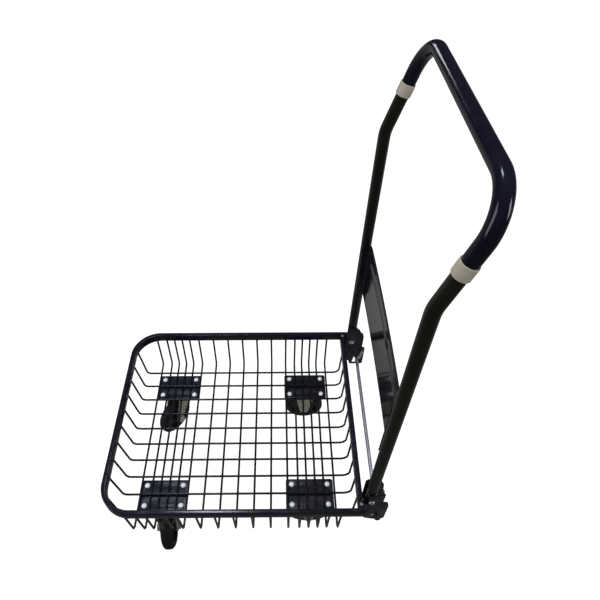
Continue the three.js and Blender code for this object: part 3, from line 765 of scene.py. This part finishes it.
def swivel_caster(corner, x, y, angle):
    a = math.radians(angle)
    forward = Vector((math.cos(a), math.sin(a), 0))
    across = Vector((-math.sin(a), math.cos(a), 0))
    body = "swivel_" + corner
    plate_bottom = PLATE_TOP - PLATE_SHEET
    bm = bmesh.new()
    caster_plate(bm, x, y, True)
    turned(
        bm,
        [(15, -3.5), (19, -3.6), (23, -3.4), (26.4, -2.6), (28, -1.2), (28.6, 0.4), (15, 0.4),
         (15, -3.5)],
        (x, y, plate_bottom),
        count=56,
    )
    race = from_bmesh("race_piece_" + corner, bm, FORK_ZINC)
    dress(race, "frame", "fork_zinc", "swivel_plate_" + corner)
    crown_top = plate_bottom - CROWN_DROP
    bm = bmesh.new()
    crown = rounded(CROWN_LENGTH, 2 * (FORK_IN + FORK_SHEET), 5, 5)
    sheet(bm, [crown, round_hole(0, 0, KINGPIN_HOLE)], FORK_SHEET,
          (x, y, crown_top - FORK_SHEET / 2), forward, across, 0.5)
    turned(
        bm,
        [(15, -0.5), (26, -0.5), (26.3, 0.6), (25.4, 1.8), (23, 2.7), (19, 3.0), (15, 2.9),
         (15, -0.5)],
        (x, y, crown_top),
        count=56,
    )
    for side in (1, -1):
        leg_sheet(bm, (x, y, 0), forward, across, side, TRAIL, CROWN_HALF, crown_top - 1, RIB)
    fork = from_bmesh("fork_piece_" + corner, bm, FORK_ZINC, 40)
    dress(fork, body, "fork_zinc", "swivel_fork_" + corner)
    bm = bmesh.new()
    turned(
        bm,
        [(0, PLATE_TOP - 0.2), (6, PLATE_TOP - 0.2), (6, crown_top - 2.8), (9.6, crown_top - 2.9),
         (9.2, crown_top - 4.6), (6.5, crown_top - 6), (0, crown_top - 6.3)],
        (x, y, 0),
        count=40,
    )
    pin = from_bmesh("kingpin_piece_" + corner, bm, ZINC)
    dress(pin, "frame", "zinc", "kingpin_" + corner)
    centre = Vector((x, y, WHEEL)) - forward * TRAIL
    axle_bolt(corner, body, centre, across)
    wheel(corner, centre, across)


CORNERS = (
    ("front_left", FRONT_CASTER, -CASTER_Y, 95),
    ("front_right", FRONT_CASTER, CASTER_Y, 55),
    ("rear_left", REAR_CASTER, -CASTER_Y, None),
    ("rear_right", REAR_CASTER, CASTER_Y, None),
)
for corner, x, y, angle in CORNERS:
    bm = bmesh.new()
    holes = [round_hole(a, b, 3.4) for a, b in BOLT_PLACES]
    sheet(bm, [rounded(*DECK_PLATE, 5, 5)] + holes, DECK_SHEET,
          (x, y, DECK_TOP - DECK_SHEET / 2), (1, 0, 0), (0, 1, 0), 0.5)
    # The front plates take the paint with the painted sky reflection.
    deck = from_bmesh("deck_piece_" + corner, bm, PLATE_PAINT[corner.split("_")[0]])
    dress(deck, "frame", "frame_paint", "deck_plate_" + corner)
    for i, (sx, sy) in enumerate(BOLT_ORDER):
        node = f"caster_bolt_{corner}_{i + 1}"
        bolt = caster_bolt(f"bolt_piece_{corner}_{i + 1}", x + sx * BOLT_X, y + sy * BOLT_Y)
        dress(bolt, "frame", "zinc", node)
    if angle is None:
        fixed_caster(corner, x, y)
    else:
        swivel_caster(corner, x, y, angle)

# ------------------------------------------------------------------ handle

leg_line = [
    ((HANDLE_X, -HANDLE_Y, TAIL_Z), 0),
    ((HANDLE_X, -HANDLE_Y, KNEE_Z), KNEE_BEND),
    ((TOP_X, -HANDLE_Y, TOP_Z), TOP_BEND),
    ((TOP_X, HANDLE_Y, TOP_Z), TOP_BEND),
    ((HANDLE_X, HANDLE_Y, KNEE_Z), KNEE_BEND),
    ((HANDLE_X, HANDLE_Y, TAIL_Z), 0),
]
handle = tube(
    "handle_piece",
    leg_line,
    circle(HANDLE_R, 48),
    HANDLE_PAINT,
    circle(HANDLE_R - HANDLE_WALL, 48),
    up=(0, 1, 0),
    step=3,
)
dress(handle, "handle", "frame_paint", "handle_tube")

lean = Vector((TOP_X - HANDLE_X, 0, TOP_Z - KNEE_Z)).normalized()


def on_lean(side, along):
    """A point on a leg's leaning part, along it from the middle of its collar."""
    base = Vector((HANDLE_X, side * HANDLE_Y, KNEE_Z))
    return base + lean * ((COLLAR_Z + side * COLLAR_SLIP - KNEE_Z) / lean.z + along)


sleeve = tube(
    "grip_piece",
    [
        (on_lean(-1, COLLAR_LENGTH / 2 + 0.2), 0),
        ((TOP_X, -HANDLE_Y, TOP_Z), TOP_BEND),
        ((TOP_X, HANDLE_Y, TOP_Z), TOP_BEND),
        (on_lean(1, COLLAR_LENGTH / 2 + 0.2), 0),
    ],
    circle(SLEEVE_R, 48),
    VINYL,
    circle(HANDLE_R + 0.2, 48),
    up=(0, 1, 0),
    step=3,
)
dress(sleeve, "handle", "grip_vinyl", "grip_sleeve")
for name, side in SIDES:
    half = COLLAR_LENGTH / 2
    bore = HANDLE_R + 0.2
    outer = COLLAR_R
    collar = lathe(
        "collar_piece_" + name,
        [(bore, -half), (outer - 0.6, -half), (outer, -half + 0.8), (outer, half - 0.8),
         (outer - 0.6, half), (bore, half), (bore, -half)],
        on_lean(side, 0),
        lean,
        BEIGE,
        64,
    )
    dress(collar, "handle", "collar_plastic", "grip_collar_" + name)


def panel_profile():
    """The sheet's section as (z, setback) down its front and up its back: rolled edges, and
    a strip along the top that is pressed back."""
    low, high = PANEL_LOW, PANEL_HIGH
    front = [(high - 0.9, 2.9), (high - 0.1, 2.2), (high, 1.4), (high - 0.5, 0.5)]
    front += [(high - 1.8, 0.0), (high - 3.4, 0.3), (high - 5, 0.9), (high - 22, 0.9)]
    front += [(high - 24, 0.8), (high - 30, -0.6), (high - 32, -0.7), (high - 36, -0.1)]
    front += [(high - 39, 0), (low + 5, 0), (low + 3.4, -0.2), (low + 1.8, -0.6)]
    front += [(low + 0.5, 0), (low, 0.8), (low + 0.3, 1.8), (low + 1.1, 2.2)]
    back = [(low + 1.6, 1.7), (low + 5, PANEL_SHEET), (high - 39, PANEL_SHEET)]
    back += [(high - 30, PANEL_SHEET - 0.6), (high - 24, PANEL_SHEET + 0.8)]
    back += [(high - 5, PANEL_SHEET + 0.9), (high - 2.6, 2.6)]
    return front + back


def panel():
    """The bowed sheet between the legs, with a flange bent forward along each leg."""
    corner = 4
    half = PANEL_HALF - PANEL_SHEET
    line = []
    for side in (-1, 1):
        ends = [
            (PANEL_FLANGE + t * (PANEL_X - corner - PANEL_FLANGE) / 4, side * half)
            for t in range(5)
        ]
        bend = [
            (PANEL_X - corner + corner * math.sin(a), side * (half - corner + corner * math.cos(a)))
            for a in (math.pi / 2 * k / 6 for k in range(1, 6))
        ]
        line.append(ends + bend)
    reach = half - corner
    middle = [
        (PANEL_X + PANEL_BOW * (1 - (y / reach) ** 2), y)
        for y in (reach * (-1 + 2 * k / 40) for k in range(41))
    ]
    route = line[0] + middle + line[1][::-1]
    profile = panel_profile()
    bm = bmesh.new()
    rings = []
    for i, (x, y) in enumerate(route):
        ahead, behind = route[min(i + 1, len(route) - 1)], route[max(i - 1, 0)]
        along = Vector((ahead[0] - behind[0], ahead[1] - behind[1], 0)).normalized()
        out = Vector((along.y, -along.x, 0))
        edge = min(1, max(0, (PANEL_HALF - abs(y) - 1) / 6))
        ring = []
        for z, setback in profile:
            plain = 0 if setback < PANEL_SHEET * 0.6 else PANEL_SHEET
            depth = setback * edge + plain * (1 - edge)
            ring.append(bm.verts.new(place(*(Vector((x, y, z)) + out * depth))))
        rings.append(ring)
    joined(bm, rings)
    bm.faces.new(rings[0])
    bm.faces.new(rings[-1])
    return from_bmesh("panel_piece", bm, PANEL_PAINT, 25)


dress(panel(), "handle", "frame_paint", "leg_panel")

# ------------------------------------------------------------------ hinges and lock


def inner_cheek():
    """The cheek on the inner side: a tab behind, and the lobe round the pivot above it."""
    low, top, lobe = BRACKET_LOW, INNER_LOBE_TOP, INNER_LOBE_REAR
    return softened(
        [
            (WEB_X, low + 29), (WEB_X + 4, low + 15), (271, low + 15), (275, low),
            (BRACKET_REAR - 4, low), (BRACKET_REAR, low + 4), (BRACKET_REAR, TAB_TOP - 7),
            (BRACKET_REAR - 1.5, TAB_TOP - 3), (301, TAB_TOP - 1), (299.5, TAB_TOP + 4),
            (lobe + 2, TAB_TOP + 22), (lobe, top - 26), (lobe - 8, top - 6), (lobe - 16, top),
            (WEB_X + 8, top), (WEB_X, top - 8),
        ],
        4,
    )


def outer_cheek():
    """The cheek on the outer side: it stands back where the flange passes in front of it."""
    low, top, front = BRACKET_LOW, OUTER_LOBE_TOP, FLANGE_REAR - 1
    return softened(
        [
            (WEB_X, low + 30), (WEB_X + 4, low + 19), (WEB_X + 8, low + 12.5), (276, low + 9),
            (286, low + 5.5), (300, low + 4.5), (BRACKET_REAR - 1, low + 13),
            (BRACKET_REAR - 0.5, TAB_TOP + 3), (304.5, TAB_TOP + 19), (300, TAB_TOP + 23),
            (294, TAB_TOP + 23), (290, TAB_TOP + 28), (288, top - 10), (283, top - 2),
            (278, top), (front + 3, top), (front, top - 5), (front, FLANGE_TOP),
            (WEB_X, FLANGE_TOP),
        ],
        3,
    )


def rod_slot():
    """The plain slot that the rod runs down in the outer cheek."""
    r = ROD_R + 0.4
    top = arc(ROD_X, ROD_Z, r, 0, 180)
    return top + arc(ROD_X, ROD_Z - ROD_TRAVEL, r, 180, 360)


def rod_opening():
    """The slot in the inner cheek, which opens out in front."""
    r = ROD_R + 0.4
    low = ROD_Z - ROD_TRAVEL - r
    front = ROD_X - r - 7
    ring = [(ROD_X + r, low)] + arc(ROD_X, ROD_Z, r, 0, 162, 8)
    return softened(ring + [(front + 3.5, ROD_Z + 11), (front, low)], 1.2)


def bracket(name, side):
    bm = bmesh.new()
    pivot_hole = round_hole(HANDLE_X, PIVOT_Z, PIVOT_HOLE)
    for y, outline, slot in ((INNER_CHEEK, inner_cheek(), rod_opening()),
                             (OUTER_CHEEK, outer_cheek(), rod_slot())):
        where = (0, side * (y + CHEEK / 2), 0)
        sheet(bm, [outline, pivot_hole, slot], CHEEK, where, (1, 0, 0), (0, 0, 1), 0.5)
    width = OUTER_FACE - INNER_CHEEK - 2
    height = FLANGE_TOP - WEB_LOW
    middle = side * (INNER_CHEEK + OUTER_FACE) / 2
    sheet(bm, [rounded(width, height, 2)], CHEEK, (WEB_X + CHEEK / 2, middle, WEB_LOW + height / 2),
          (0, 1, 0), (0, 0, 1), 0.5)
    rear = WEB_X + CHEEK
    flange = softened(
        [(FLANGE_FRONT, FLANGE_IN), (rear, FLANGE_IN), (rear, OUTER_CHEEK),
         (FLANGE_REAR, OUTER_CHEEK), (FLANGE_REAR, FLANGE_OUT), (FLANGE_FRONT, FLANGE_OUT)],
        1.5,
    )
    hole = round_hole(CROSSBAR_X, CROSSBAR_BOLT_Y, CROSSBAR_HOLE)
    outlines = [[(x, side * y) for x, y in outline] for outline in (flange, hole)]
    sheet(bm, outlines, CHEEK, (0, 0, FLANGE_LOW + CHEEK / 2), (1, 0, 0), (0, 1, 0), 0.5)
    x, z = SPRING_PIN
    turned(bm, [(2, 0), (2, 9.2), (1.4, 10), (0, 10)], (x, side * (INNER_CHEEK + 0.5), z),
           (0, -side, 0), 20)
    piece = from_bmesh("bracket_piece_" + name, bm, PAINT)
    dress(piece, "frame", "frame_paint", "hinge_bracket_" + name)
    rivet = lathe(
        "bracket_rivet_" + name,
        [(0, 1.5), (1.8, 1.4), (3.2, 0.6), (3.5, -0.3), (0, -0.3)],
        (RIVET[0], side * OUTER_FACE, RIVET[1]), (0, side, 0), ZINC, 32,
    )
    dress(rivet, "frame", "zinc")


def pivot_bolt(name, side):
    bm = bmesh.new()
    way = Vector((0, side, 0))
    middle = Vector((HANDLE_X, 0, PIVOT_Z))
    head = OUTER_FACE + 0.3
    nut = INNER_CHEEK - 0.3
    turned(bm, [(3.9, head), (5.8, head), (6.1, head + 0.4), (5.9, head + 1.4), (4.9, head + 2.7),
                (3.2, head + 3.5), (1.5, head + 3.9), (0, head + 4)], middle, way, 40)
    sheet(bm, [circle(7.2, 6)], 4.5, middle + way * (nut - 2.3), (1, 0, 0), (0, 0, 1), 0.7, 3)
    turned(bm, [(0, nut - 6.4), (3.5, nut - 6.3), (4, nut - 5.8), (4, head + 1), (0, head + 1)],
           middle, way, 32)
    bolt = from_bmesh("pivot_bolt_piece_" + name, bm, ZINC)
    dress(bolt, "frame", "zinc", "pivot_bolt_" + name)


def spring(name, side):
    """The coil between the rod and its pin, hooked round each of them."""
    y = side * (INNER_CHEEK - COIL_R - SPRING_WIRE - 1)
    low = Vector((ROD_X, y, ROD_Z))
    high = Vector((SPRING_PIN[0], y, SPRING_PIN[1]))
    axis = (high - low).normalized()
    other = axis.cross(Vector((0, 1, 0)))
    points = []
    for k in range(25):
        a = math.radians(250 * (1 - k / 24))
        points.append(low + (axis * math.cos(a) + other * math.sin(a)) * (ROD_R + 0.9))
    start, end = ROD_R + 1.2, (high - low).length - 3.2
    steps = SPRING_TURNS * COIL_STEPS
    for k in range(steps + 1):
        t = k / steps
        swell = min(1, t * 10, (1 - t) * 10) * COIL_R
        a = 2 * math.pi * t * SPRING_TURNS
        along = low + axis * (start + (end - start) * t)
        points.append(along + (Vector((0, math.cos(a), 0)) + other * math.sin(a)) * swell)
    for k in range(25):
        a = math.radians(180 - 250 * k / 24)
        points.append(high + (axis * math.cos(a) + other * math.sin(a)) * 2.8)
    bm = bmesh.new()
    stations = []
    for i, p in enumerate(points):
        direction = points[min(i + 1, len(points) - 1)] - points[max(i - 1, 0)]
        stations.append((p, direction.normalized()))
    swept(bm, stations, circle(SPRING_WIRE, 8), up=(0, 1, 0.1))
    piece = from_bmesh("spring_piece_" + name, bm, ZINC, 60)
    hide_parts("lock_spring_" + name)
    place(*(low + axis * (ROD_R + 1)))
    place(*(high - axis * 3))
    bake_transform(piece)


rod_end = OUTER_FACE + 5
rod = lathe(
    "rod_piece",
    [(0, -rod_end), (3.4, -rod_end), (4, -rod_end + 0.6), (4, rod_end - 0.6), (3.4, rod_end),
     (0, rod_end)],
    (ROD_X, 0, ROD_Z), (0, 1, 0), ZINC, 40,
)
dress(rod, "lock", "zinc", "lock_rod")
for name, side in SIDES:
    bracket(name, side)
    pivot_bolt(name, side)
    spring(name, side)
    cap = lathe(
        "rod_cap_piece_" + name,
        [(4.1, OUTER_FACE + 0.6), (5.9, OUTER_FACE + 0.6), (5.9, rod_end), (5.2, rod_end + 1.6),
         (3.5, rod_end + 2.3), (0, rod_end + 2.3)],
        (ROD_X, 0, ROD_Z), (0, side, 0), DARK_ZINC, 36,
    )
    dress(cap, "lock", "zinc", "rod_cap_" + name)

# ------------------------------------------------------------------ studio


def grey(level):
    return (level, level, level, 1)


def by_ray(tree, seen, mirrored, other):
    """A colour for what is seen, by the camera or through something clear, one for what gloss
    mirrors, and one for the rest."""
    camera_ray = make(tree, "ShaderNodeLightPath", out=0)
    glossy_ray = make(tree, "ShaderNodeLightPath", out=3)
    clear_ray = make(tree, "ShaderNodeLightPath", out=6)
    return (camera_ray + clear_ray).mix(glossy_ray.mix(other, mirrored), seen)


world = bpy.data.worlds.new("studio")
bpy.context.scene.world = world
world.use_nodes = True
tree = world.node_tree
ray_way = make(tree, "ShaderNodeTexCoord", out=0)
height = make(tree, "ShaderNodeSeparateXYZ", {0: ray_way}, out=2)
mirrored_sky = height.ramp(0.35, 0.95).mix(grey(SKY_MIRRORED), CEILING_MIRRORED)
sky = by_ray(tree, grey(1), mirrored_sky, grey(SKY_LIGHT))
tree.links.new(sky.socket, tree.nodes["Background"].inputs["Color"])

floor_mesh = bpy.data.meshes.new("floor")
floor_mesh.from_pydata([(-8, -8, 0), (8, -8, 0), (8, 8, 0), (-8, 8, 0)], [], [(0, 1, 2, 3)])
floor = bpy.data.objects.new("floor", floor_mesh)
bpy.context.scene.collection.objects.link(floor)
paper = Surface("floor_paper", Roughness=0.9, Specular_IOR_Level=0.1, Emission_Strength=1.0)
away = make(paper.tree, "ShaderNodeSeparateXYZ", {0: paper.here}, out=1)
mirrored_floor = away.ramp(-0.4, 0.3).mix(NEAR_FLOOR_MIRRORED, FAR_FLOOR_MIRRORED)
paper.set(
    Base_Color=by_ray(paper.tree, grey(FLOOR_SHADOW), grey(0.0), grey(0.6)),
    Emission_Color=by_ray(paper.tree, grey(1), mirrored_floor, grey(0.0)),
)
floor_mesh.materials.append(paper.material)


def lamp(name, size, power, where, aim=(0, 0, 300), glints=True):
    light = bpy.data.lights.new(name, "AREA")
    light.shape = "RECTANGLE"
    light.size, light.size_y = size
    light.energy = power
    light.color = DAYLIGHT
    obj = bpy.data.objects.new(name, light)
    bpy.context.scene.collection.objects.link(obj)
    obj.location = place(*where)
    obj.visible_glossy = glints
    direction = place(*aim) - obj.location
    obj.rotation_euler = direction.to_track_quat("-Z", "Y").to_euler()


lamp("overhead", (2.4, 2.4), 48, (0, -200, 2600), glints=False)
lamp("ceiling_lamp", (0.28, 0.45), 9, (-350, 620, 2600), (-80, -220, 256))
lamp("left_window", (1.0, 1.6), 24, (-2200, -600, 1700))
lamp("far_window", (0.32, 0.55), 4.5, (-680, 2500, 1450), (316, 0, 900))
lamp("right_window", (0.5, 1.0), 14, (2200, -900, 1500), (316, 0, 900))
